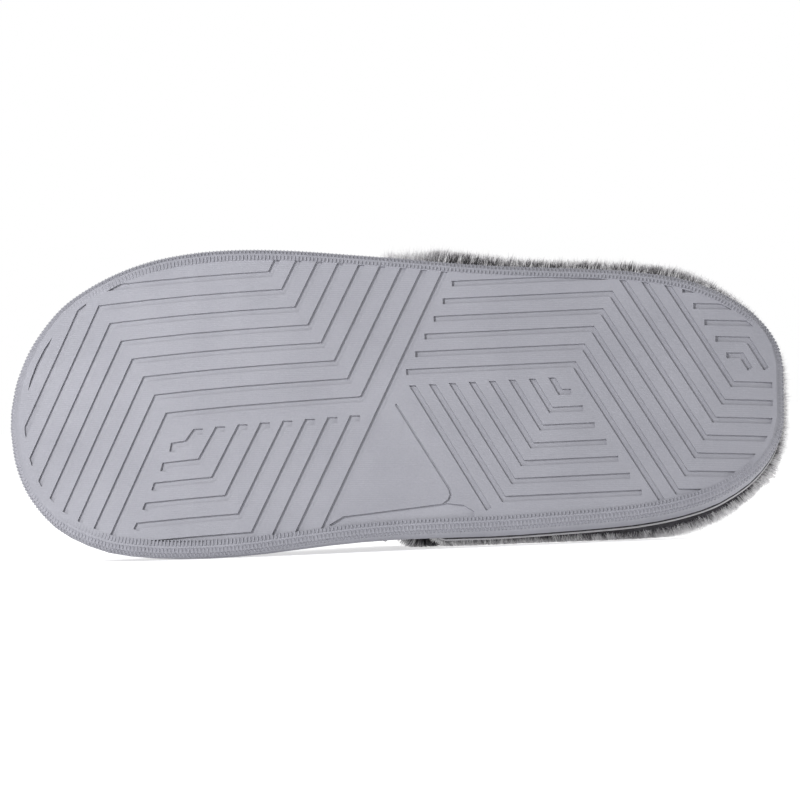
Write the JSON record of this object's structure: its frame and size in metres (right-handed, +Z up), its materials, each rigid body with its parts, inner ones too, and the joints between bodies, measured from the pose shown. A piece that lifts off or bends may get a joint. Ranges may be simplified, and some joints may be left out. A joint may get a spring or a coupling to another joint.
{
  "type": "scuff slipper",
  "caption": "Open-back house slipper with a grooved rubber sole, a closed soft toe and a deep fur footbed that hangs over the sole round the heel.",
  "frame": {"origin": "centre of the bounding box in plan, on the floor under the slipper as it lies on its inner side", "axes": "+X from toe to heel, +Y from the tread through the sole towards the upper, leaned back with the shoe, +Z up, which is the shoe's outer side"},
  "size_m": [0.2642, 0.0866, 0.1019],
  "materials": {
    "sole_rubber": "matte",
    "board_binding": "matte",
    "faux_fur": "matte",
    "vamp_cloth": "matte"
  },
  "bodies": {
    "root": {"outsole": "sole_rubber", "insole_board": "board_binding", "fur_footbed": "faux_fur", "vamp": "vamp_cloth", "fur_collar": "faux_fur"}
  },
  "joints": []
}
